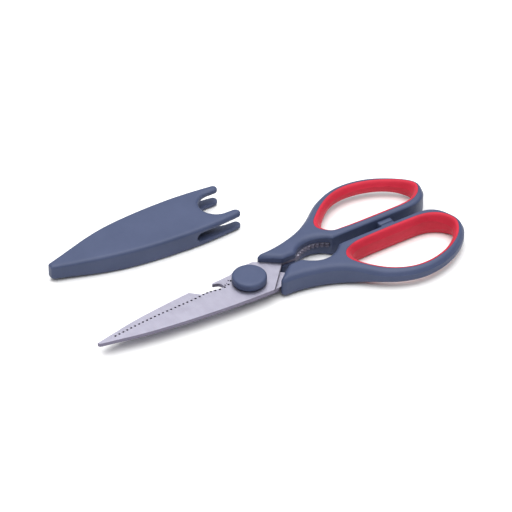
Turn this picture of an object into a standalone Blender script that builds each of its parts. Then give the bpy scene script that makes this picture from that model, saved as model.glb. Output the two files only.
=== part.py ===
"""Poultry shears with a blade sheath.  Metres, +Z up, at rest on a table with the blades closed."""
import math

import bmesh
import bpy
from mathutils import Matrix, Vector

MM = 0.001
GAP = 0.3                  # clearance kept between pieces that touch, in mm like every size below

# Where things stand on the table
PIVOT_X = -14.9            # pivot axis from the middle of the object's box
PIVOT_Y = -18.05
MID_HEIGHT = 6.35          # parting plane between the two blades
SHEATH_Y = 61.3            # sheath's long axis, measured from the pivot
SHEATH_TURN = -1.5         # degrees about +Z

# Blades
BLADE_THICK = 2.0
BLADE_GRIND = 1.3          # leg of the ground edge
TOOTH_PITCH = 2.42         # serrations
TOOTH_GULLET = 0.52        # half width of a gullet
TOOTH_DEPTH = 0.95
CRACKER_X = 40.7           # centre of the nutcracker's arcs
CRACKER_Y = -6.3
CRACKER_WALL = 14.6        # radius of the plastic wall
CRACKER_ROOT = 14.0        # radius at the roots of the steel teeth
CRACKER_TIP = 12.9
CRACKER_TEETH = 9

# Handles
HANDLE_HALF = 6.35         # half thickness of the handle's body
HANDLE_ROUND = 1.8         # rounding of its rims
INNER_WALL = 3.0           # distance of the inner wall from the shears' middle line
BOW_THINNING = 0.38        # share of the thickness lost along the outer side of the bow
SEAM = 0.15                # half of the gap between shell and grip
LUG_HALF = 4.4             # half height of the stop lugs between the handles

# Pivot hardware
SHANK_R = 2.5
HEAD_R = 6.3
NUT_FLATS = 8.0
CAP_R = 8.9
CAP_TOP = 12.7

# Sheath
SHEATH_TIP = -78.6         # ends of the sheath along its axis
SHEATH_MOUTH = 25.8
SHEATH_HIGH = 11.5
SHEATH_PLATE = 3.0         # thickness of its two flat faces
SHEATH_ROUND = 2.4
SCOOP_R = 9.4              # half width of the scoop that clears the pivot cap
SCOOP_X = 18.6
PRONG_R = 2.35             # half width of a prong beside the scoop
SLOT_X = -1.5              # closed end of the slots along both sides


def clearScene():
    for item in list(bpy.data.objects):
        bpy.data.objects.remove(item, do_unlink=True)


def makeCollection(name):
    group = bpy.data.collections.new(name)
    bpy.context.scene.collection.children.link(group)
    return group


def makeMaterial(name, colour, roughness, metallic=0.0):
    material = bpy.data.materials.new(name)
    material.use_nodes = True
    shader = material.node_tree.nodes["Principled BSDF"]
    shader.inputs["Base Color"].default_value = (*colour, 1.0)
    shader.inputs["Roughness"].default_value = roughness
    shader.inputs["Metallic"].default_value = metallic
    return material


def smooth(points, steps, closed=False):
    """Points of a curve that runs through the given ones, with steps pieces between neighbours."""
    count = len(points)
    spans = count if closed else count - 1
    curve = []
    for i in range(spans):
        if closed:
            near = [points[(i + k) % count] for k in (-1, 0, 1, 2)]
        else:
            near = [points[min(max(i + k, 0), count - 1)] for k in (-1, 0, 1, 2)]
        before, start, end, after = [Vector(p) for p in near]
        for j in range(steps):
            t = j / steps
            curve.append(0.5 * (2 * start + (end - before) * t
                                + (2 * before - 5 * start + 4 * end - after) * t * t
                                + (3 * start - before - 3 * end + after) * t * t * t))
    if not closed:
        curve.append(Vector(points[-1]))
    return [tuple(p) for p in curve]


def arc(x, y, radius, first, last, steps):
    """Points of an arc from the first to the last angle, in degrees."""
    turn = [math.radians(first + (last - first) * i / steps) for i in range(steps + 1)]
    return [(x + radius * math.cos(a), y + radius * math.sin(a)) for a in turn]


def addObject(name, mesh, group):
    item = bpy.data.objects.new(name, mesh)
    group.objects.link(item)
    return item


def curveToMesh(item, group):
    """The curve object's welded mesh, in an object of the same name."""
    name = item.name
    bpy.context.view_layer.update()
    graph = bpy.context.evaluated_depsgraph_get()
    mesh = bpy.data.meshes.new_from_object(item.evaluated_get(graph))
    mesh.transform(item.matrix_world)
    bpy.data.objects.remove(item, do_unlink=True)
    work = bmesh.new()
    work.from_mesh(mesh)
    bmesh.ops.remove_doubles(work, verts=work.verts, dist=0.000001)
    bmesh.ops.dissolve_limit(work, angle_limit=0.001, verts=work.verts, edges=work.edges,
                             delimit=set())
    bmesh.ops.recalc_face_normals(work, faces=work.faces)
    work.to_mesh(mesh)
    work.free()
    return addObject(name, mesh, group)


def prism(name, loop, low, high, group, grow=0.0):
    """A flat outline in mm, between two heights; grow moves its edge outwards."""
    data = bpy.data.curves.new(name, "CURVE")
    data.dimensions = "2D"
    data.fill_mode = "BOTH"
    data.extrude = (high - low) / 2 * MM
    data.offset = grow * MM
    spline = data.splines.new("POLY")
    spline.points.add(len(loop) - 1)
    for point, (x, y) in zip(spline.points, loop):
        point.co = (x * MM, y * MM, 0.0, 1.0)
    spline.use_cyclic_u = True
    item = addObject(name, data, group)
    item.location.z = (low + high) / 2 * MM
    return curveToMesh(item, group)


def sweep(name, path, height, radius, group):
    """A square bar on its corner along a path; it grinds the edge that the path follows."""
    data = bpy.data.curves.new(name, "CURVE")
    data.dimensions = "3D"
    data.bevel_depth = radius * MM
    data.bevel_resolution = 0
    data.use_fill_caps = True
    spline = data.splines.new("POLY")
    spline.points.add(len(path) - 1)
    for point, (x, y) in zip(spline.points, path):
        point.co = (x * MM, y * MM, height * MM, 1.0)
    return curveToMesh(addObject(name, data, group), group)


def turned(name, profile, group, steps=40):
    """A turned piece from its profile in mm, outer side downwards; a ring's profile is a loop."""
    mesh = bpy.data.meshes.new(name)
    work = bmesh.new()
    chain = [work.verts.new((r * MM, 0.0, z * MM)) for r, z in profile]
    if profile[0][0] > 0:
        chain.append(chain[0])
    for a, b in zip(chain, chain[1:]):
        work.edges.new((a, b))
    work.to_mesh(mesh)
    work.free()
    item = addObject(name, mesh, group)
    screw = item.modifiers.new("turn", "SCREW")
    screw.steps = steps
    screw.render_steps = steps
    screw.use_merge_vertices = True
    screw.merge_threshold = 0.00001
    return item


def cylinder(name, x, y, radius, low, high, group, sides=32):
    mesh = bpy.data.meshes.new(name)
    work = bmesh.new()
    place = Matrix.Translation(Vector((x, y, (low + high) / 2)) * MM)
    bmesh.ops.create_cone(work, cap_ends=True, segments=sides, radius1=radius * MM,
                          radius2=radius * MM, depth=(high - low) * MM, matrix=place)
    work.to_mesh(mesh)
    work.free()
    return addObject(name, mesh, group)


def box(name, low, high, group):
    mesh = bpy.data.meshes.new(name)
    work = bmesh.new()
    size = [(b - a) * MM for a, b in zip(low, high)]
    middle = Vector([(a + b) / 2 for a, b in zip(low, high)]) * MM
    bmesh.ops.create_cube(work, size=1.0,
                          matrix=Matrix.Translation(middle) @ Matrix.Diagonal((*size, 1.0)))
    work.to_mesh(mesh)
    work.free()
    return addObject(name, mesh, group)


def combine(item, tool, operation, solver="EXACT"):
    """Boolean with a tool, which is then only a guide."""
    cut = item.modifiers.new(tool.name, "BOOLEAN")
    cut.operation = operation
    cut.solver = solver
    cut.object = tool
    tool.hide_render = True
    tool.display_type = "WIRE"


def bake(item):
    """Apply the object's modifiers to its own mesh."""
    bpy.context.view_layer.update()
    graph = bpy.context.evaluated_depsgraph_get()
    mesh = bpy.data.meshes.new_from_object(item.evaluated_get(graph))
    item.modifiers.clear()
    item.data = mesh


def roundRims(item, width, segments, weightAt):
    """Round the top and bottom rims; weightAt gives the share of the width at a place in mm."""
    work = bmesh.new()
    work.from_mesh(item.data)
    weights = work.edges.layers.float.new("bevel_weight_edge")
    for edge in work.edges:
        flat = abs(edge.verts[0].co.z - edge.verts[1].co.z) < 0.00001
        if flat and edge.calc_face_angle(0.0) > 1.0:
            middle = (edge.verts[0].co + edge.verts[1].co) / 2 / MM
            edge[weights] = weightAt(middle.x, middle.y)
    work.to_mesh(item.data)
    work.free()
    bevel = item.modifiers.new("rims", "BEVEL")
    bevel.limit_method = "WEIGHT"
    bevel.width = width * MM
    bevel.segments = segments
    bevel.use_clamp_overlap = False
    bake(item)


def finish(item, material, parent=None, angle=30):
    """Apply what is left to apply, shade, colour, and hand the piece to its moving half."""
    bake(item)
    item.data.shade_smooth()
    item.data.set_sharp_from_angle(angle=math.radians(angle))
    item.data.materials.clear()
    item.data.materials.append(material)
    if parent:
        item.parent = parent


def ease(value):
    value = min(max(value, 0.0), 1.0)
    return value * value * (3 - 2 * value)


# ---------------------------------------------------------------- blades

SPINE = smooth([(-86.9, -1.9), (-76, -4.2), (-66, -6.3), (-56, -7.9), (-46, -9.1), (-35, -10.3),
                (-20, -11.5), (-8, -12.2), (6.9, -12.6)], 2)
EDGE = smooth([(-79.5, 1.0), (-70, 2.1), (-60, 3.1), (-50, 3.7), (-40, 4.1), (-30, 4.5),
               (-22.8, 5.2), (-17.5, 4.4), (-14.4, 4.0), (-10.6, 5.0), (-8.2, 7.2)], 3)
NOSE = [(-86.3, -0.7), (-83, 0.1)]
GRIND_START = [(-84.5, 1.4)]  # off the metal, so that the nose stays blunt
# Behind the edge, the upper blade rises to its shoulder in a curve and the lower one in a step
UPPER_HEEL = smooth([(-7.0, 8.4), (-4.5, 9.8), (0.5, 11.5), (4.5, 12.0)], 2) + [(9.5, 12.0)]
LOWER_HEEL = [(-7.2, 9.0), (-5.9, 10.5), (9.5, 10.5)]
# Outer side of the tang, from the handle's front to its end inside the handle
TANG_OUTER = [(12.6, 9.8), (20, 10.7), (30, 12.0), (40, 13.4), (46, 12.0), (49, 8.8)]


def along(path, distance):
    """The point at a distance along a path, and the path's direction there."""
    for start, end in zip(path, path[1:]):
        step = Vector(end) - Vector(start)
        if distance <= step.length:
            return Vector(start) + step.normalized() * distance, step.normalized()
        distance -= step.length
    return Vector(path[-1]), step.normalized()


def serrate(path):
    """The same edge with a round gullet at every tooth pitch."""
    bite = [(-1.0, 0.0), (-0.85, 0.6), (-0.35, 1.0), (0.35, 1.0), (0.85, 0.6), (1.0, 0.0)]
    length = sum((Vector(b) - Vector(a)).length for a, b in zip(path, path[1:]))
    edge = [path[0]]
    for i in range(int(length / TOOTH_PITCH)):
        centre, forward = along(path, (i + 0.5) * TOOTH_PITCH)
        inward = Vector((forward.y, -forward.x))
        edge += [tuple(centre + forward * u * TOOTH_GULLET + inward * v * TOOTH_DEPTH)
                 for u, v in bite]
    return edge + [path[-1]]


def crackerTeeth():
    """The nutcracker's steel teeth, along its arc from the pivot side to the grip side."""
    steps = 2 * CRACKER_TEETH
    teeth = []
    for i in range(steps + 1):
        angle = math.radians(135 - 90 * i / steps)
        radius = CRACKER_TIP if i % 2 else CRACKER_ROOT
        teeth.append((CRACKER_X + radius * math.cos(angle), CRACKER_Y + radius * math.sin(angle)))
    return teeth


def tangInner(teeth):
    """Inner side of the tang, from its end inside the handle back to the slanted shoulder."""
    inner = INNER_WALL + 0.4
    return [(52.1, 5.2)] + teeth[::-1] + [(29.6, inner), (21.6, inner)]


# The notch in the lower blade's spine: a slanted front, a round floor and a claw
NOTCH_START = -28.6
NOTCH = ([(NOTCH_START, -10.6), (-24.4, -6.5)]
         + smooth([(-21.8, -4.2), (-18.4, -3.1), (-14.5, -3.2), (-11.9, -4.8), (-11.4, -7.0),
                   (-12.5, -8.9), (-14.2, -9.7)], 2)
         + [(-15.5, -10.0), (-15.3, -10.8), (-4.0, -11.6), (6.9, -12.6)])


def makeBlade(name, edge, spine, group, guides):
    """A blade and its tang in one outline: nose, edge and heel, tang, and back along the spine."""
    low = GAP / 2
    high = low + BLADE_THICK
    loop = NOSE + edge + TANG_OUTER + tangInner(crackerTeeth()) + spine[::-1]
    blade = prism(name, loop, low, high, group)
    ground = [(x, y + 0.03) for x, y in GRIND_START + EDGE[:-4]]
    grind = sweep(name + "_grind", ground, high + 0.03, BLADE_GRIND, guides)
    combine(blade, grind, "DIFFERENCE")
    bore = cylinder(name + "_bore", 0, 0, SHANK_R + GAP, low - 1, high + 1, guides)
    combine(blade, bore, "DIFFERENCE")
    return blade


# ---------------------------------------------------------------- handles

# Outline of a handle, once round from the front corner: inner wall, nutcracker, bow, outer side
BOW = smooth([(100, 3.0), (104.6, 3.5), (108.9, 5.5), (112.8, 9.1), (115.6, 13.7), (116.7, 18.4),
              (115.6, 22.8), (112.8, 27.0), (108.6, 31.0), (103.8, 34.4), (98.3, 37.3),
              (92.2, 39.4), (85.5, 40.6), (78.5, 40.6), (72, 39.2), (66, 36.8), (60.5, 33.6),
              (55.5, 29.6), (50.6, 25.2), (45.5, 21.4), (40.3, 18.5), (35, 16.4), (29.5, 14.8),
              (24, 13.6), (18, 12.9), (14.0, 12.8)], 2)
CRACKER_ARC = arc(CRACKER_X, CRACKER_Y, CRACKER_WALL, 140.4, 39.6, 12)
HANDLE_FRONT = [(12.3, 11.7), (12.3, 10.4), (22.0, INNER_WALL)]
HANDLE_LOOP = HANDLE_FRONT + CRACKER_ARC + BOW

# Stations around the grip: a point on its seam with the shell, and one on the finger hole
GRIP_SEAM = smooth([(49.5, 15.0), (50.6, 11.4), (53.6, 8.6), (58.5, 6.7), (66, 5.9), (78, 5.6),
                    (90, 5.6), (99.5, 5.9), (105.5, 7.4), (110.2, 10.6), (113.2, 14.8),
                    (114.0, 18.8), (112.2, 23.2), (108.6, 27.5), (103.2, 31.4), (96.8, 34.6),
                    (89.3, 36.8), (81.5, 37.6), (74.2, 36.4), (67.6, 33.5), (61.3, 29.2),
                    (55.7, 24.2), (51.3, 19.4)], 2, closed=True)
GRIP_HOLE = smooth([(53.6, 14.6), (54.6, 11.6), (57.0, 9.6), (61.0, 8.7), (67, 8.4), (78, 8.3),
                    (90, 8.3), (99, 8.5), (103.8, 9.6), (107.8, 12.1), (110.4, 15.6),
                    (111.0, 18.8), (109.4, 22.3), (106.2, 26.0), (101.4, 29.5), (95.6, 32.3),
                    (88.8, 34.2), (81.6, 34.8), (75.2, 33.9), (69.2, 31.4), (63.6, 27.6),
                    (58.8, 23.0), (55.2, 18.6)], 2, closed=True)
GRIP_ROUND = 0.78          # share of the grip's width that its rounding takes
GRIP_STEPS = 3


def thickness(x, y):
    """Share of the full thickness at a place: the bow grows thinner towards its outer side."""
    return 1 - BOW_THINNING * ease((x - 38) / 24) * ease((y - 9) / 24)


def makeHandle(name, group, guides):
    handle = prism(name, HANDLE_LOOP, -HANDLE_HALF, HANDLE_HALF, group)
    roundRims(handle, HANDLE_ROUND, 3, lambda x, y: 1.0)
    hole = prism(name + "_seam", GRIP_SEAM, -HANDLE_HALF - 1, HANDLE_HALF + 1, guides, SEAM)
    combine(handle, hole, "DIFFERENCE", "MANIFOLD")
    bake(handle)
    work = bmesh.new()
    work.from_mesh(handle.data)
    bmesh.ops.triangulate(work, faces=work.faces)
    for vert in work.verts:
        vert.co.z *= thickness(vert.co.x / MM, vert.co.y / MM)
    work.to_mesh(handle.data)
    work.free()
    lug = box(name + "_lug", (79.5, GAP / 2, -LUG_HALF), (87.5, INNER_WALL + 1, LUG_HALF), guides)
    combine(handle, lug, "UNION", "MANIFOLD")
    # The pocket for the tang is open at the front and along the inner wall
    pocket = ([(5, 3)] + TANG_OUTER + [(52.1, 5.2), (50.7, 3.4)]
              + arc(CRACKER_X, CRACKER_Y, 10.0, 45, 135, 4) + [(22, 1.0), (14, -4)])
    slot = prism(name + "_pocket", pocket, GAP / 2 - GAP, GAP / 2 + BLADE_THICK + GAP, guides, GAP)
    combine(handle, slot, "DIFFERENCE", "MANIFOLD")
    return handle


def makeGrip(name, group):
    """Soft ring: flat at the seam, rounded into the finger hole, as tall as the shell beside it."""
    mesh = bpy.data.meshes.new(name)
    work = bmesh.new()
    loops = []
    for upper in (True, False):
        for step in range(GRIP_STEPS + 2):
            bend = None if step == 0 else math.pi / 2 * (step - 1) / GRIP_STEPS
            ring = []
            for seam, hole in zip(GRIP_SEAM, GRIP_HOLE):
                outer = Vector(seam)
                across = Vector(hole) - outer
                width = across.length
                outer += across / width * SEAM
                width -= SEAM
                across.normalize()
                share = thickness(*seam)
                high = HANDLE_HALF * share
                curl = width * GRIP_ROUND
                if bend is None:
                    place = outer
                else:
                    place = outer + across * (width - curl + curl * math.sin(bend))
                    high -= curl * (1 - math.cos(bend))
                ring.append(work.verts.new((place.x * MM, place.y * MM,
                                            (high if upper else -high) * MM)))
            loops.append(ring)
    half = GRIP_STEPS + 2
    order = loops[:half] + loops[half:][::-1]
    count = len(GRIP_SEAM)
    for inner, outer in zip(order, order[1:] + order[:1]):
        for i in range(count):
            j = (i + 1) % count
            work.faces.new((inner[i], inner[j], outer[j], outer[i]))
    bmesh.ops.recalc_face_normals(work, faces=work.faces)
    work.to_mesh(mesh)
    work.free()
    return addObject(name, mesh, group)


# ---------------------------------------------------------------- sheath

SHEATH_SIDE = smooth([(SHEATH_TIP, 1.9), (-72, 4.0), (-64, 6.5), (-54, 9.5), (-44, 11.9),
                      (-34.5, 13.5), (-25, 14.5), (-15, 15.2), (-5, 15.5), (4, 15.5),
                      (13.5, 15.0), (24, 14.0), (34, 12.8)], 2)
SHEATH_INNER = smooth([(-70, 1.6), (-63, 4.4), (-54, 7.4), (-44, 9.8), (-34.5, 11.4), (-25, 12.5),
                       (-15, 13.2), (-5, 13.6), (4, 13.6), (13.5, 13.1), (36, 11.0)], 2)


def bothSides(side):
    return side + [(x, -y) for x, y in side[::-1]]


def makeSheath(name, group, guides):
    half = SHEATH_HIGH / 2
    sheath = prism(name, bothSides(SHEATH_SIDE), -half, half, group)
    roundRims(sheath, SHEATH_ROUND, 4, lambda x, y: 0.5 + 0.5 * ease((x - SHEATH_TIP - 2) / 10))
    inside = half - SHEATH_PLATE
    cavity = prism(name + "_cavity", bothSides(SHEATH_INNER), -inside, inside, guides)
    # The mouth: a round scoop between two prongs with round ends, above and below
    prong = (PRONG_R + SCOOP_R, SHEATH_MOUTH - PRONG_R)
    side = ([(60, 30), (prong[1], 30)] + arc(prong[1], prong[0], PRONG_R, 90, -90, 8)
            + arc(SCOOP_X, 0, SCOOP_R, 90, 180, 8))
    mouth = prism(name + "_mouth", side + [(x, -y) for x, y in side[-2::-1]], -half - 1, half + 1,
                  guides)
    combine(sheath, cavity, "DIFFERENCE", "MANIFOLD")
    combine(sheath, mouth, "DIFFERENCE", "MANIFOLD")
    # One slot through both side walls, as tall as the cavity, with a round closed end
    slotEnd = arc(SLOT_X + inside, 0, inside - 0.1, 90, 270, 8)
    slot = prism(name + "_slot", slotEnd + [(60, -inside + 0.1), (60, inside - 0.1)], -30, 30, guides)
    slot.data.transform(Matrix.Rotation(math.pi / 2, 4, "X"))
    combine(sheath, slot, "DIFFERENCE", "MANIFOLD")
    bake(sheath)
    work = bmesh.new()
    work.from_mesh(sheath.data)
    bmesh.ops.triangulate(work, faces=work.faces)
    for vert in work.verts:
        vert.co.z *= 1 - 0.25 * ease((-40 - vert.co.x / MM) / 40)
    work.to_mesh(sheath.data)
    work.free()
    return sheath


# ---------------------------------------------------------------- pivot hardware

def makePivot(parts, guides, steel, plastic, root):
    bladeTop = MID_HEIGHT + GAP / 2 + BLADE_THICK
    bladeBottom = MID_HEIGHT - GAP / 2 - BLADE_THICK
    shankTop = CAP_TOP - 1.3
    screw = turned("pivot_screw", [(0, shankTop), (SHANK_R - 0.4, shankTop),
                                   (SHANK_R, shankTop - 0.4), (SHANK_R, bladeBottom - GAP),
                                   (HEAD_R, bladeBottom - GAP), (HEAD_R, 0.8),
                                   (HEAD_R - 0.25, 0.22), (HEAD_R - 0.8, 0), (0, 0)], parts)
    slot = box("screw_slot", (-HEAD_R - 1, -0.7, -1), (HEAD_R + 1, 0.7, 1.0), guides)
    combine(screw, slot, "DIFFERENCE")
    washerLow = bladeTop + GAP
    nutLow = washerLow + 0.5 + GAP
    washer = turned("pivot_washer", [(SHANK_R + GAP, washerLow + 0.5), (5.2, washerLow + 0.5),
                                     (5.2, washerLow), (SHANK_R + GAP, washerLow)], parts, 32)
    nut = cylinder("pivot_nut", 0, 0, NUT_FLATS / 2 / math.cos(math.pi / 6), nutLow, shankTop - 0.3,
                   parts, 6)
    bore = cylinder("nut_bore", 0, 0, SHANK_R + GAP, nutLow - 1, shankTop + 1, guides, 24)
    combine(nut, bore, "DIFFERENCE")
    capFloor = bladeTop + GAP
    ceiling = shankTop + GAP
    rim = [(CAP_R - 1.3 + 1.3 * math.sin(a), CAP_TOP - 1.3 + 1.3 * math.cos(a))
           for a in (math.radians(22.5 * i) for i in range(5))]
    cap = turned("pivot_cap", [(0, CAP_TOP)] + rim + [(CAP_R, capFloor), (6.4, capFloor),
                                                      (6.4, ceiling), (0, ceiling)], parts, 48)
    for item, material in ((screw, steel), (washer, steel), (nut, steel), (cap, plastic)):
        finish(item, material, root)


def makeHalf(name, root, blade, parts, materials, guides):
    steel, shell, rubber = materials
    handle = makeHandle(name + "_handle", parts, guides)
    grip = makeGrip(name + "_grip", parts)
    finish(blade, steel, root)
    finish(handle, shell, root, 40)
    finish(grip, rubber, root, 40)


def main():
    clearScene()
    parts = makeCollection("poultry_shears")
    guides = makeCollection("guides")
    steel = makeMaterial("brushed_steel", (0.62, 0.60, 0.70), 0.32, 1.0)
    shell = makeMaterial("slate_plastic", (0.13, 0.155, 0.27), 0.45)
    rubber = makeMaterial("red_rubber", (0.62, 0.035, 0.07), 0.55)

    pivot = Vector((PIVOT_X, PIVOT_Y, 0)) * MM
    stand = addObject("pivot_point", None, parts)
    stand.location = pivot
    upper = addObject("upper_half", None, parts)
    upper.location = pivot + Vector((0, 0, MID_HEIGHT * MM))
    # The lower half is the upper one's shape turned over about the X axis
    lower = addObject("lower_half", None, parts)
    lower.location = upper.location
    lower.rotation_euler = (math.pi, 0, 0)

    upperBlade = makeBlade("upper_blade", serrate(EDGE) + UPPER_HEEL, SPINE, parts, guides)
    front = [p for p in SPINE if p[0] < NOTCH_START - 0.5]
    lowerBlade = makeBlade("lower_blade", EDGE + LOWER_HEEL, front + NOTCH, parts, guides)
    makeHalf("upper", upper, upperBlade, parts, (steel, shell, rubber), guides)
    makeHalf("lower", lower, lowerBlade, parts, (steel, shell, rubber), guides)
    makePivot(parts, guides, steel, shell, stand)

    sheath = makeSheath("sheath", parts, guides)
    finish(sheath, shell, angle=40)
    sheath.location = pivot + Vector((0, SHEATH_Y, SHEATH_HIGH / 2)) * MM
    sheath.rotation_euler.z = math.radians(SHEATH_TURN)


main()
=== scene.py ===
import math

import bmesh
import bpy
from mathutils import Matrix, Vector
from mathutils.kdtree import KDTree


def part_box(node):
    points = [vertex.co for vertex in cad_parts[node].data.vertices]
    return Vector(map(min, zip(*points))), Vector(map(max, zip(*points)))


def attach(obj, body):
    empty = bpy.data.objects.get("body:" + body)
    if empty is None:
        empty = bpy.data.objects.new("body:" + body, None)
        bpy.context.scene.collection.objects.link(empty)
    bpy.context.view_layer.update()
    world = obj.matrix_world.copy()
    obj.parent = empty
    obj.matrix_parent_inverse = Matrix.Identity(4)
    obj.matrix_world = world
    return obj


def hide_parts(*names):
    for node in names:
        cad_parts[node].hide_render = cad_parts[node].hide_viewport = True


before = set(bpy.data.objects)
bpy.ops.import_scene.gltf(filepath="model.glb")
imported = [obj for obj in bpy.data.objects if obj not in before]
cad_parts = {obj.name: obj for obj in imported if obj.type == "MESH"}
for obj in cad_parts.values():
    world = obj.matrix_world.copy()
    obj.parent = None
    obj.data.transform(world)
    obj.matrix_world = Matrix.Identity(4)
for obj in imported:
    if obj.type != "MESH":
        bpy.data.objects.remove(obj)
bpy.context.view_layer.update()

mm = 0.001
print("frame loaded")

# The pivot is the middle of the cap, and the parting plane lies halfway between the blades
capLow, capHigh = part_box("pivot_cap")
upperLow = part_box("upper_blade")[0]
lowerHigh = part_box("lower_blade")[1]
sheathLow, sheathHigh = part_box("sheath")
pivot = Vector(((capLow.x + capHigh.x) / 2, (capLow.y + capHigh.y) / 2, 0.0))
parting = (upperLow.z + lowerHigh.z) / 2

upperPlace = Matrix.Translation((pivot.x, pivot.y, parting))
lowerPlace = upperPlace @ Matrix.Rotation(math.pi, 4, "X")


# Outlines: plain points in mm from the pivot, rounded into curves

def ease(value):
    value = min(max(value, 0.0), 1.0)
    return value * value * (3 - 2 * value)


def curved(points, steps, closed=False):  # a smooth line through the points
    count = len(points)
    line = []
    for i in range(count if closed else count - 1):
        near = [points[(i + k) % count] if closed else points[min(max(i + k, 0), count - 1)]
                for k in (-1, 0, 1, 2)]
        before, start, end, after = [Vector(p) for p in near]
        for j in range(steps):
            t = j / steps
            line.append(0.5 * (2 * start + (end - before) * t
                               + (2 * before - 5 * start + 4 * end - after) * t * t
                               + (3 * start - before - 3 * end + after) * t * t * t))
    return line if closed else line + [Vector(points[-1])]


def arc(x, y, radius, first, last, steps):
    turns = [math.radians(first + (last - first) * i / steps) for i in range(steps + 1)]
    return [Vector((x + radius * math.cos(a), y + radius * math.sin(a))) for a in turns]


def bothSides(side):
    return side + [Vector((p.x, -p.y)) for p in side[::-1]]


# Making and shaping meshes

def addPiece(name, work):
    mesh = bpy.data.meshes.new(name)
    work.to_mesh(mesh)
    work.free()
    item = bpy.data.objects.new(name, mesh)
    bpy.context.scene.collection.objects.link(item)
    return item


def bake(item):  # the modifiers become the mesh
    bpy.context.view_layer.update()
    graph = bpy.context.evaluated_depsgraph_get()
    mesh = bpy.data.meshes.new_from_object(item.evaluated_get(graph))
    item.modifiers.clear()
    item.data = mesh
    return item


def slab(name, outlines, low, high, grow=0.0):  # a flat piece between two heights, in mm
    data = bpy.data.curves.new(name, "CURVE")
    data.dimensions = "2D"
    data.fill_mode = "BOTH"
    data.extrude = (high - low) / 2 * mm
    data.offset = grow * mm
    for outline in outlines:
        spline = data.splines.new("POLY")
        spline.points.add(len(outline) - 1)
        for point, place in zip(spline.points, outline):
            point.co = (place[0] * mm, place[1] * mm, 0.0, 1.0)
        spline.use_cyclic_u = True
    item = bpy.data.objects.new(name, data)
    bpy.context.scene.collection.objects.link(item)
    bpy.context.view_layer.update()
    mesh = bpy.data.meshes.new_from_object(item)
    bpy.data.objects.remove(item)
    work = bmesh.new()
    work.from_mesh(mesh)
    bmesh.ops.translate(work, verts=work.verts, vec=(0, 0, (high + low) / 2 * mm))
    bmesh.ops.remove_doubles(work, verts=work.verts, dist=0.000001)
    bmesh.ops.recalc_face_normals(work, faces=work.faces)
    return addPiece(name, work)


def combine(item, tool, operation="DIFFERENCE"):
    change = item.modifiers.new("shape", "BOOLEAN")
    change.operation = operation
    change.solver = "MANIFOLD"
    change.object = tool
    bake(item)
    bpy.data.objects.remove(tool)
    return item


def remesh(item, voxel):
    change = item.modifiers.new("grain", "REMESH")
    change.mode = "VOXEL"
    change.voxel_size = voxel * mm
    return bake(item)


def soften(item, passes):
    change = item.modifiers.new("soften", "SMOOTH")
    change.factor = 0.5
    change.iterations = passes
    return bake(item)


def rimFinder(outline):  # tells how far a place is from an outline, in mm
    places = []
    for start, end in zip(outline, outline[1:] + outline[:1]):
        pieces = max(int((end - start).length / 0.15), 1)
        places += [start.lerp(end, i / pieces) for i in range(pieces)]
    tree = KDTree(len(places))
    for i, place in enumerate(places):
        tree.insert((place.x, place.y, 0.0), i)
    tree.balance()
    return lambda x, y: tree.find((x, y, 0.0))[2]


def rounding(distance, wide, deep):  # how far a quarter ellipse has dropped, this far from a rim
    near = 1 - min(distance / wide, 1.0)
    return deep * (1 - math.sqrt(1 - near * near))


def slope(distance, wide, deep):  # a straighter fall towards the rim
    return deep * (1 - min(distance / wide, 1.0)) ** 3


def copyOf(item, name):
    twin = bpy.data.objects.new(name, item.data.copy())
    bpy.context.scene.collection.objects.link(twin)
    return twin


def turned(name, profile, steps):  # spins a profile of radius and height round the pivot
    work = bmesh.new()
    chain = [work.verts.new((r * mm, 0.0, z * mm)) for r, z in profile]
    edges = [work.edges.new(pair) for pair in zip(chain, chain[1:])]
    bmesh.ops.spin(work, geom=chain + edges, cent=(0, 0, 0), axis=(0, 0, 1),
                   angle=math.radians(360), steps=steps, use_merge=True)
    bmesh.ops.remove_doubles(work, verts=work.verts, dist=0.000002)
    bmesh.ops.recalc_face_normals(work, faces=work.faces)
    return addPiece(name, work)


def finish(item, place, body, material, nodes, angle=35):
    item.data.transform(place)
    item.data.shade_smooth()
    item.data.set_sharp_from_angle(angle=math.radians(angle))
    item.data.materials.clear()
    item.data.materials.append(material)
    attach(item, body)
    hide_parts(*nodes)
    print("made", item.name, len(item.data.polygons), "faces")


# Finishes

def newFinish(name):
    material = bpy.data.materials.new(name)
    material.use_nodes = True
    tree = material.node_tree
    return material, tree, tree.nodes["Principled BSDF"]


def objectPoint(tree, scale=(1, 1, 1), turn=(0, 0, 0)):
    where = tree.nodes.new("ShaderNodeTexCoord")
    mapping = tree.nodes.new("ShaderNodeMapping")
    mapping.inputs["Scale"].default_value = scale
    mapping.inputs["Rotation"].default_value = turn
    tree.links.new(where.outputs["Object"], mapping.inputs["Vector"])
    return mapping.outputs["Vector"]


def noise(tree, vector, scale, detail=3.0, roughness=0.5):
    texture = tree.nodes.new("ShaderNodeTexNoise")
    texture.inputs["Scale"].default_value = scale
    texture.inputs["Detail"].default_value = detail
    texture.inputs["Roughness"].default_value = roughness
    tree.links.new(vector, texture.inputs["Vector"])
    return texture.outputs["Fac"]


def spread(tree, value, low, high, toLow, toHigh):
    remap = tree.nodes.new("ShaderNodeMapRange")
    remap.inputs["From Min"].default_value = low
    remap.inputs["From Max"].default_value = high
    remap.inputs["To Min"].default_value = toLow
    remap.inputs["To Max"].default_value = toHigh
    tree.links.new(value, remap.inputs["Value"])
    return remap.outputs["Result"]


def blendColours(tree, fac, first, second):
    mix = tree.nodes.new("ShaderNodeMix")
    mix.data_type = "RGBA"
    mix.inputs["A"].default_value = (*first, 1)
    mix.inputs["B"].default_value = (*second, 1)
    tree.links.new(fac, mix.inputs["Factor"])
    return mix.outputs["Result"]


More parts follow.
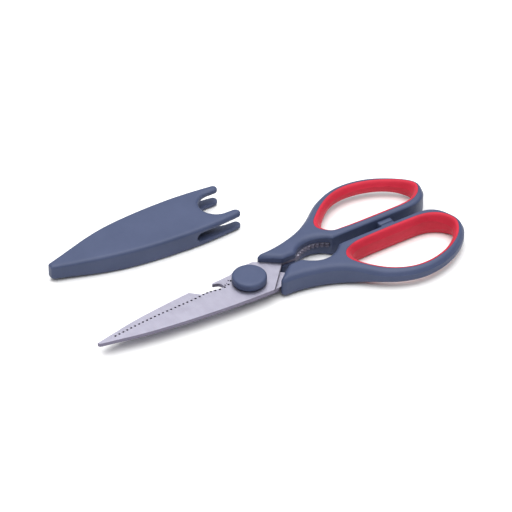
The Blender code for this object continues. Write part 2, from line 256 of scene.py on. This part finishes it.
def bump(tree, height, strength, distance, normal=None):
    node = tree.nodes.new("ShaderNodeBump")
    node.inputs["Strength"].default_value = strength
    node.inputs["Distance"].default_value = distance
    tree.links.new(height, node.inputs["Height"])
    if normal:
        tree.links.new(normal, node.inputs["Normal"])
    return node.outputs["Normal"]


slate = dict(colour=(0.043, 0.058, 0.118), worn=(0.051, 0.067, 0.133), roughness=0.47)


def slatePlastic():  # satin moulded plastic with a fine spark-eroded grain
    material, tree, shader = newFinish("slatePlastic")
    point = objectPoint(tree)
    cloud = noise(tree, point, 60, 4, 0.55)
    colour = blendColours(tree, spread(tree, cloud, 0.35, 0.7, 0, 1), slate["colour"],
                          slate["worn"])
    tree.links.new(colour, shader.inputs["Base Color"])
    scuff = noise(tree, objectPoint(tree, (1, 4, 1), (0, 0, 0.5)), 700, 5, 0.7)
    rough = spread(tree, scuff, 0.3, 0.75, slate["roughness"] - 0.05, slate["roughness"] + 0.1)
    tree.links.new(rough, shader.inputs["Roughness"])
    grain = bump(tree, noise(tree, point, 5200, 2, 0.5), 0.35, 0.00002)
    waves = bump(tree, noise(tree, point, 140, 2, 0.5), 0.12, 0.0003, grain)
    tree.links.new(waves, shader.inputs["Normal"])
    shader.inputs["Specular IOR Level"].default_value = 0.3
    return material


grip = dict(colour=(0.49, 0.016, 0.041), deep=(0.43, 0.012, 0.033), roughness=0.6)


def redRubber():  # soft-touch rubber, dusty on its skin
    material, tree, shader = newFinish("redRubber")
    point = objectPoint(tree)
    cloud = noise(tree, point, 85, 5, 0.6)
    colour = blendColours(tree, spread(tree, cloud, 0.35, 0.68, 0, 1), grip["deep"],
                          grip["colour"])
    tree.links.new(colour, shader.inputs["Base Color"])
    skin = noise(tree, point, 2600, 4, 0.6)
    rough = spread(tree, skin, 0.3, 0.7, grip["roughness"] - 0.06, grip["roughness"] + 0.12)
    tree.links.new(rough, shader.inputs["Roughness"])
    pores = bump(tree, noise(tree, point, 6500, 2, 0.5), 0.4, 0.00002)
    tree.links.new(pores, shader.inputs["Normal"])
    shader.inputs["Specular IOR Level"].default_value = 0.25
    shader.inputs["Sheen Weight"].default_value = 0.06
    shader.inputs["Sheen Roughness"].default_value = 0.5
    return material


flats = dict(bright=(0.46, 0.45, 0.545), dull=(0.31, 0.30, 0.38), roughness=0.35)
# darker steel for the blade side walls, also used as painted shade inside the gullet pits
darkSidesAndPitShade = dict(bright=(0.21, 0.195, 0.26), dull=(0.14, 0.13, 0.18), roughness=0.5)


def groundSteel(name, turn, steel):  # blade steel with fine grinding lines
    material, tree, shader = newFinish(name)
    shader.inputs["Metallic"].default_value = 1.0
    lines = noise(tree, objectPoint(tree, (1, 0.035, 1), (0, 0, turn)), 2600, 4, 0.7)
    cloud = noise(tree, objectPoint(tree), 130, 4, 0.6)
    tone = tree.nodes.new("ShaderNodeMath")
    tone.operation = "MULTIPLY_ADD"
    tone.inputs[1].default_value = 0.7
    tree.links.new(lines, tone.inputs[0])
    tree.links.new(spread(tree, cloud, 0.3, 0.7, 0, 0.35), tone.inputs[2])
    colour = blendColours(tree, tone.outputs["Value"], steel["dull"], steel["bright"])
    tree.links.new(colour, shader.inputs["Base Color"])
    rough = spread(tree, lines, 0.25, 0.75, steel["roughness"] - 0.06, steel["roughness"] + 0.1)
    tree.links.new(rough, shader.inputs["Roughness"])
    tree.links.new(bump(tree, lines, 0.25, 0.00001), shader.inputs["Normal"])
    return material


plastic = slatePlastic()
rubber = redRubber()
bladeSteel = groundSteel("bladeSteel", math.radians(12), flats)
darkSidesAndPitShadeSteel = groundSteel("darkSidesAndPitShadeSteel", math.radians(80), darkSidesAndPitShade)
hardwareSteel = groundSteel("hardwareSteel", 0, flats)
print("finishes ready")


# Blades

blade = dict(
    gap=0.15, thick=2.0, grind=1.3,
    pitch=2.42, gullet=0.52, depth=0.95,
    bore=2.8,
    nose=[(-86.3, -0.7), (-83, 0.1)],
    edge=[(-79.5, 1.0), (-70, 2.1), (-60, 3.1), (-50, 3.7), (-40, 4.1), (-30, 4.5), (-22.8, 5.2),
          (-17.5, 4.4), (-14.4, 4.0), (-10.6, 5.0), (-8.2, 7.2)],
    upperHeel=[(-7.0, 8.4), (-4.5, 9.8), (0.5, 11.5), (4.5, 12.0)],
    upperShoulder=(9.5, 12.0), lowerHeel=[(-7.2, 9.0), (-5.9, 10.5), (9.5, 10.5)],
    pitRadius=0.6, pitDepth=1.3, pitIn=1.75, grindStart=(-84.5, 1.4),
    tangOuter=[(12.6, 9.8), (20, 10.7), (30, 12.0), (40, 13.4), (46, 12.0), (49, 8.8)],
    spine=[(-86.9, -1.9), (-76, -4.2), (-66, -6.3), (-56, -7.9), (-46, -9.1), (-35, -10.3),
           (-20, -11.5), (-8, -12.2), (6.9, -12.6)],
    notchStart=-28.6,
    notchFront=[(-28.6, -10.6), (-24.4, -6.5)],
    notchFloor=[(-21.8, -4.2), (-18.4, -3.1), (-14.5, -3.2), (-11.9, -4.8), (-11.4, -7.0),
                (-12.5, -8.9), (-14.2, -9.7)],
    claw=[(-15.5, -10.0), (-15.3, -10.8), (-4.0, -11.6), (6.9, -12.6)],
)
cracker = dict(x=40.7, y=-6.3, wall=14.6, root=14.0, tip=12.9, teeth=9)
innerWall = 3.0  # from the shears' middle line to a handle's inner side
tangEnd = (52.1, 5.2)
tangClear = 0.4  # the tang stands back from that inner side


def along(path, distance):
    for start, end in zip(path, path[1:]):
        step = end - start
        if distance <= step.length:
            return start + step.normalized() * distance, step.normalized()
        distance -= step.length
    return path[-1], step.normalized()


def serrate(path):
    length = sum((b - a).length for a, b in zip(path, path[1:]))
    edge = [path[0]]
    for i in range(int(length / blade["pitch"])):
        centre, forward = along(path, (i + 0.5) * blade["pitch"])
        inward = Vector((forward.y, -forward.x))
        for j in range(9):
            turn = math.pi * j / 8
            edge.append(centre - forward * math.cos(turn) * blade["gullet"]
                        + inward * math.sin(turn) * blade["depth"])
    return edge + [path[-1]]


def crackerTeeth():
    steps = 2 * cracker["teeth"]
    teeth = []
    for i in range(steps + 1):
        radius = cracker["tip"] if i % 2 else cracker["root"]
        turn = math.radians(135 - 90 * i / steps)
        teeth.append(Vector((cracker["x"] + radius * math.cos(turn),
                             cracker["y"] + radius * math.sin(turn))))
    return teeth


def makeBlade(name, edge, heel, spine):
    low = blade["gap"]
    high = low + blade["thick"]
    tang = ([Vector(tangEnd)] + crackerTeeth()[::-1]
            + [Vector((x, innerWall + tangClear)) for x in (29.6, 21.6)])
    outline = [Vector(p) for p in blade["nose"]] + edge + heel
    outline += [Vector(p) for p in blade["tangOuter"]] + tang + spine[::-1]
    item = slab(name, [outline], low, high)
    path = [Vector(blade["grindStart"])] + curved(blade["edge"], 6)[:-8]
    data = bpy.data.curves.new("stone", "CURVE")  # the stone that grinds the edge
    data.dimensions = "3D"
    data.bevel_depth = blade["grind"] * mm
    data.bevel_resolution = 0
    data.use_fill_caps = True
    spline = data.splines.new("POLY")
    spline.points.add(len(path) - 1)
    for point, place in zip(spline.points, path):
        point.co = (place.x * mm, (place.y + 0.03) * mm, (high + 0.03) * mm, 1.0)
    stone = bpy.data.objects.new("stone", data)
    bpy.context.scene.collection.objects.link(stone)
    bpy.context.view_layer.update()
    work = bmesh.new()
    work.from_mesh(bpy.data.meshes.new_from_object(stone))
    bpy.data.objects.remove(stone)
    bmesh.ops.remove_doubles(work, verts=work.verts, dist=0.000001)
    bmesh.ops.recalc_face_normals(work, faces=work.faces)
    combine(item, addPiece("stone", work))
    bore = bmesh.new()
    bmesh.ops.create_cone(bore, cap_ends=True, segments=64, radius1=blade["bore"] * mm,
                          radius2=blade["bore"] * mm, depth=0.02)
    return combine(item, addPiece("bore", bore))


def gullets():  # round bites ground into the flat just behind the edge
    edge = curved(blade["edge"], 6)
    length = sum((b - a).length for a, b in zip(edge, edge[1:]))
    top = blade["gap"] + blade["thick"]
    work = bmesh.new()
    for i in range(int(length / blade["pitch"])):
        centre, forward = along(edge, (i + 0.5) * blade["pitch"])
        centre = centre + Vector((forward.y, -forward.x)) * blade["pitIn"]
        place = Matrix.Translation(Vector((centre.x, centre.y, top)) * mm)
        bmesh.ops.create_cone(work, cap_ends=True, segments=16, radius1=blade["pitRadius"] * mm,
                              radius2=blade["pitRadius"] * mm, depth=blade["pitDepth"] * 2 * mm,
                              matrix=place)
    return addPiece("gullets", work)


def paintSidesAndPitShade(item):  # the stamped side walls get a darker steel than the ground flats, and the gullet pits get the same dark steel as painted shade
    item.data.materials.append(darkSidesAndPitShadeSteel)
    heights = [vert.co.z for vert in item.data.vertices]
    low, high = min(heights) + 0.05 * mm, max(heights) - 0.05 * mm
    for face in item.data.polygons:
        # upright faces (side walls and pit walls) and the pit floors take the darker steel; in the
        # pits it is painted shade
        inside = low < face.center.z < high
        if abs(face.normal.z) < 0.5 or (abs(face.normal.z) > 0.9 and inside):
            face.material_index = 1


edgeLine = curved(blade["edge"], 6)
spineLine = curved(blade["spine"], 5)
upperHeel = curved(blade["upperHeel"], 5) + [Vector(blade["upperShoulder"])]
upperBlade = makeBlade("upperBlade", serrate(edgeLine), upperHeel, spineLine)
combine(upperBlade, gullets())
finish(upperBlade, upperPlace, "upper_half", bladeSteel, ["upper_blade"], 15)
paintSidesAndPitShade(upperBlade)
front = [p for p in spineLine if p.x < blade["notchStart"] - 0.3]
notch = ([Vector(p) for p in blade["notchFront"]] + curved(blade["notchFloor"], 6)
         + [Vector(p) for p in blade["claw"]])
lowerBlade = makeBlade("lowerBlade", edgeLine, [Vector(p) for p in blade["lowerHeel"]],
                       front + notch)
finish(lowerBlade, lowerPlace, "lower_half", bladeSteel, ["lower_blade"], 15)
paintSidesAndPitShade(lowerBlade)


# Handles: shell and grip are one moulded body, parted along the seam

handle = dict(
    half=6.35, thinning=0.38, grow=0.12, voxel=0.33, passes=14, seam=0.06,
    front=[(12.3, 11.7), (12.3, 10.4), (22.0, innerWall)], pocketArc=10.0,
    bow=[(100, 3.0), (104.6, 3.5), (108.9, 5.5), (112.8, 9.1), (115.6, 13.7), (116.7, 18.4),
         (115.6, 22.8), (112.8, 27.0), (108.6, 31.0), (103.8, 34.4), (98.3, 37.3), (92.2, 39.4),
         (85.5, 40.6), (78.5, 40.6), (72, 39.2), (66, 36.8), (60.5, 33.6), (55.5, 29.6),
         (50.6, 25.2), (45.5, 21.4), (40.3, 18.5), (35, 16.4), (29.5, 14.8), (24, 13.6),
         (18, 12.9), (14.0, 12.8)],
    seamLine=[(49.5, 15.0), (50.6, 11.4), (53.6, 8.6), (58.5, 6.7), (66, 5.9), (78, 5.6),
              (90, 5.6), (99.5, 5.9), (105.5, 7.4), (110.2, 10.6), (113.2, 14.8), (114.0, 18.8),
              (112.2, 23.2), (108.6, 27.5), (103.2, 31.4), (96.8, 34.6), (89.3, 36.8),
              (81.5, 37.6), (74.2, 36.4), (67.6, 33.5), (61.3, 29.2), (55.7, 24.2), (51.3, 19.4)],
    hole=[(53.6, 14.6), (54.6, 11.6), (57.0, 9.6), (61.0, 8.7), (67, 8.4), (78, 8.3), (90, 8.3),
          (99, 8.5), (103.8, 9.6), (107.8, 12.1), (110.4, 15.6), (111.0, 18.8), (109.4, 22.3),
          (106.2, 26.0), (101.4, 29.5), (95.6, 32.3), (88.8, 34.2), (81.6, 34.8), (75.2, 33.9),
          (69.2, 31.4), (63.6, 27.6), (58.8, 23.0), (55.2, 18.6)],
    lug=[(79.5, 0.15), (87.5, 0.15), (87.5, 4.0), (79.5, 4.0)], lugHalf=3.9,
    bowRim=(2.9, 5.3), bodyRim=(3.4, 3.2), innerRim=(2.2, 2.0), barRim=(1.3, 1.3),
    ringRim=(2.8, 5.2), ringBarRim=(2.4, 3.9), ringFrontRim=(4.2, 4.6),
)


def thickness(x, y):  # the bow grows thinner towards its outer side
    return 1 - handle["thinning"] * ease((x - 38) / 24) * ease((y - 9) / 24)


def shade(first, second, share):
    return [a + (b - a) * share for a, b in zip(first, second)]


def shellRim(x, y):  # width and depth of the shell's rounding there
    front = shade(handle["innerRim"], handle["bodyRim"], ease((y - 6) / 5))
    bow = shade(handle["barRim"], handle["bowRim"], ease((y - 5) / 9))
    return shade(front, bow, ease((x - 46) / 12))


def ringRim(x, y):
    bow = shade(handle["ringBarRim"], handle["ringRim"], ease((y - 9) / 8))
    return shade(handle["ringFrontRim"], bow, ease((x - 54) / 8))


def makeHandle():
    outline = [Vector(p) for p in handle["front"]]
    outline += arc(cracker["x"], cracker["y"], cracker["wall"], 140.4, 39.6, 30)
    outline += curved(handle["bow"], 5)
    hole = curved(handle["hole"], 5, closed=True)
    body = slab("handle", [outline, hole], -handle["half"], handle["half"], handle["grow"])
    remesh(body, handle["voxel"])
    toShell, toHole = rimFinder(outline), rimFinder(hole)
    for vert in body.data.vertices:
        x, y = vert.co.x / mm, vert.co.y / mm
        drop = max(rounding(toShell(x, y), *shellRim(x, y)), slope(toHole(x, y), *ringRim(x, y)))
        vert.co.z *= thickness(x, y) * (1 - drop / handle["half"])
    soften(body, handle["passes"])
    seamLine = curved(handle["seamLine"], 5, closed=True)
    tall = handle["half"] + 1
    shell = combine(copyOf(body, "shell"), slab("seam", [seamLine], -tall, tall, handle["seam"]))
    ring = combine(body, slab("seam", [seamLine], -tall, tall, -handle["seam"]), "INTERSECT")
    lug = slab("lug", [handle["lug"]], -handle["lugHalf"], handle["lugHalf"])
    change = lug.modifiers.new("rim", "BEVEL")
    change.width = 0.5 * mm
    change.segments = 3
    combine(shell, bake(lug), "UNION")
    pocket = ([(5, 3), blade["upperShoulder"]] + blade["tangOuter"] + [tangEnd, (50.7, 3.4)]
              + arc(cracker["x"], cracker["y"], handle["pocketArc"], 45, 135, 8)
              + [(22, 1.0), (14, -4)])
    low = blade["gap"]
    combine(shell, slab("pocket", [pocket], low - 0.3, low + blade["thick"] + 0.12, 0.15))
    return shell, ring


shell, ring = makeHandle()
for half, place in (("upper", upperPlace), ("lower", lowerPlace)):
    finish(copyOf(shell, half + "Handle"), place, half + "_half", plastic,
           [half + "_handle"])
    finish(copyOf(ring, half + "Grip"), place, half + "_half", rubber,
           [half + "_grip"])
for item in (shell, ring):
    bpy.data.objects.remove(item)


# Sheath

sheathShape = dict(
    mouth=25.8, axis=61.3, turn=-1.5, half=5.75, plate=3.0,
    voxel=0.42, bodyRim=(1.6, 1.5), mouthRim=(1.9, 1.7), bodyPasses=4, rimPasses=4,
    scoopRadius=9.25, scoopX=18.6, prong=2.5, slotX=-1.5,
    side=[(-78.6, 1.9), (-72, 4.0), (-64, 6.5), (-54, 9.5), (-44, 11.9), (-34.5, 13.5),
          (-25, 14.5), (-15, 15.2), (-5, 15.5), (4, 15.5), (13.5, 15.0), (24, 14.0), (34, 12.8)],
    inner=[(-70, 1.6), (-63, 4.4), (-54, 7.4), (-44, 9.8), (-34.5, 11.4), (-25, 12.5),
           (-15, 13.2), (-5, 13.6), (4, 13.6), (13.5, 13.1), (36, 11.0)],
)


def makeSheath():
    s = sheathShape
    half = s["half"]
    outline = bothSides(curved(s["side"], 6))
    prongX = s["mouth"] - s["prong"]
    prongY = s["prong"] + s["scoopRadius"]
    side = ([Vector((60, 30)), Vector((prongX, 30))] + arc(prongX, prongY, s["prong"], 90, -90, 16)
            + arc(s["scoopX"], 0, s["scoopRadius"], 90, 180, 16))
    mouth = side + [Vector((p.x, -p.y)) for p in side[-2::-1]]
    body = slab("sheath", [outline], -half, half, 0.1)
    remesh(body, s["voxel"])
    toRim, toMouth = rimFinder(outline), rimFinder(mouth)
    for vert in body.data.vertices:
        x, y = vert.co.x / mm, vert.co.y / mm
        rim = shade(s["bodyRim"], s["mouthRim"], ease((x + 6) / 20))
        drop = rounding(min(toRim(x, y), toMouth(x, y)), *rim)
        vert.co.z *= (1 - 0.25 * ease((-40 - x) / 40)) * (1 - drop / half)
    soften(body, s["bodyPasses"])
    inside = half - s["plate"]
    combine(body, slab("cavity", [bothSides(curved(s["inner"], 6))], -inside, inside))
    combine(body, slab("mouth", [mouth], -half - 1, half + 1))
    end = arc(s["slotX"] + inside, 0, inside - 0.1, 90, 270, 16)
    slotLine = end + [Vector((60, 0.1 - inside)), Vector((60, inside - 0.1))]
    slotTool = slab("slot", [slotLine], -30, 30)
    slotTool.data.transform(Matrix.Rotation(math.pi / 2, 4, "X"))
    combine(body, slotTool)
    remesh(body, s["voxel"])
    return soften(body, s["rimPasses"])


sheath = makeSheath()
sheathTurn = Matrix.Rotation(math.radians(sheathShape["turn"]), 4, "Z")
sheathPlace = Matrix.Translation((pivot.x, pivot.y + sheathShape["axis"] * mm,
                                  (sheathLow.z + sheathHigh.z) / 2)) @ sheathTurn
finish(sheath, sheathPlace, "sheath", plastic, ["sheath"])


# Pivot: a cap over the nut, and a slotted screw head underneath

cap = dict(radius=8.9, top=12.7, floor=8.8, round=1.5, inner=6.4, ceiling=11.7)


def makeCap():
    c = cap
    rim = [(c["radius"] - c["round"] + c["round"] * math.sin(a),
            c["top"] - c["round"] + c["round"] * math.cos(a))
           for a in (math.pi / 2 * i / 8 for i in range(9))]
    dish = [(0, c["top"] - 0.12), (2.5, c["top"] - 0.11), (5.0, c["top"] - 0.04)]
    profile = dish + rim + [(c["radius"], c["floor"] + 0.25), (c["radius"] - 0.25, c["floor"]),
                            (c["inner"], c["floor"]), (c["inner"], c["ceiling"]),
                            (0, c["ceiling"])]
    return turned("pivotCap", profile, 96)


finish(makeCap(), Matrix.Translation(pivot), "lower_half", plastic,
       ["pivot_cap"])

screw = dict(shank=2.5, top=11.4, head=6.3, headTop=3.9, slot=0.7, slotDeep=1.0)


def makeScrew():
    s = screw
    profile = [(0, s["top"]), (s["shank"] - 0.4, s["top"]), (s["shank"], s["top"] - 0.4),
               (s["shank"], s["headTop"]), (s["head"] - 0.1, s["headTop"]),
               (s["head"], s["headTop"] - 0.1), (s["head"], 0.9), (s["head"] - 0.12, 0.5),
               (s["head"] - 0.4, 0.18), (s["head"] - 0.9, 0.0), (0, 0)]
    item = turned("pivotScrew", profile, 96)
    wide = s["head"] + 1
    outline = [(-wide, -s["slot"]), (wide, -s["slot"]), (wide, s["slot"]), (-wide, s["slot"])]
    return combine(item, slab("driverSlot", [outline], -1, s["slotDeep"]))


finish(makeScrew(), Matrix.Translation(pivot), "lower_half", hardwareSteel,
       ["pivot_screw"])
for name in ("pivot_washer", "pivot_nut"):  # sealed under the cap
    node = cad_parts[name]
    node.data.materials.clear()
    node.data.materials.append(hardwareSteel)
print("pivot made")


# Studio: a pale table, a pale room and large soft lamps

studio = dict(
    azimuth=-32.75, elevation=38.5, distance=1.5, lens=210.9, eyeHeight=0.0085,
    aside=-0.002233, above=-0.008317,
    floor=(0.84, 0.84, 0.84), room=(1.0, 1.0, 1.0), roomStrength=0.3,
    lamps=[("overLamp", (0.0, 0.0, 2.0), 3.6, 106.0), ("backLamp", (1.0, 1.55, 1.45), 2.2, 4.0)],
)


def makeStudio():
    s = studio
    work = bmesh.new()
    bmesh.ops.create_grid(work, x_segments=1, y_segments=1, size=6.0)
    bmesh.ops.translate(work, verts=work.verts, vec=(0, 0, -0.0001))
    floor = addPiece("floor", work)
    material, tree, shader = newFinish("paleTable")
    shader.inputs["Base Color"].default_value = (*s["floor"], 1)
    shader.inputs["Roughness"].default_value = 0.9
    shader.inputs["Specular IOR Level"].default_value = 0.0
    floor.data.materials.append(material)
    world = bpy.data.worlds.new("paleRoom")
    world.use_nodes = True
    sky = world.node_tree.nodes["Background"]
    sky.inputs["Color"].default_value = (*s["room"], 1)
    sky.inputs["Strength"].default_value = s["roomStrength"]
    bpy.context.scene.world = world
    for name, place, size, power in s["lamps"]:
        data = bpy.data.lights.new(name, "AREA")
        data.shape = "DISK"
        data.size = size
        data.energy = power
        lamp = bpy.data.objects.new(name, data)
        lamp.location = place
        lamp.rotation_euler = (-Vector(place)).to_track_quat("-Z", "Y").to_euler()
        bpy.context.scene.collection.objects.link(lamp)


def makeCamera():
    s = studio
    turn, tilt = math.radians(s["azimuth"]), math.radians(s["elevation"])
    back = Vector((math.sin(turn) * math.cos(tilt), -math.cos(turn) * math.cos(tilt),
                   math.sin(tilt)))
    right = Vector((math.cos(turn), math.sin(turn), 0))
    up = back.cross(right)
    data = bpy.data.cameras.new("camera")
    data.lens = s["lens"]
    data.sensor_width = 36.0
    data.clip_start = 0.1
    data.clip_end = 20.0
    camera = bpy.data.objects.new("camera", data)
    target = Vector((pivot.x, pivot.y, s["eyeHeight"]))
    camera.location = target - s["distance"] * (right * s["aside"] + up * s["above"] - back)
    camera.rotation_euler = (-back).to_track_quat("-Z", "Y").to_euler()
    bpy.context.scene.collection.objects.link(camera)
    bpy.context.scene.camera = camera


makeStudio()
makeCamera()
bpy.context.scene.view_settings.view_transform = "Standard"
print("studio ready")

bpy.context.view_layer.update()
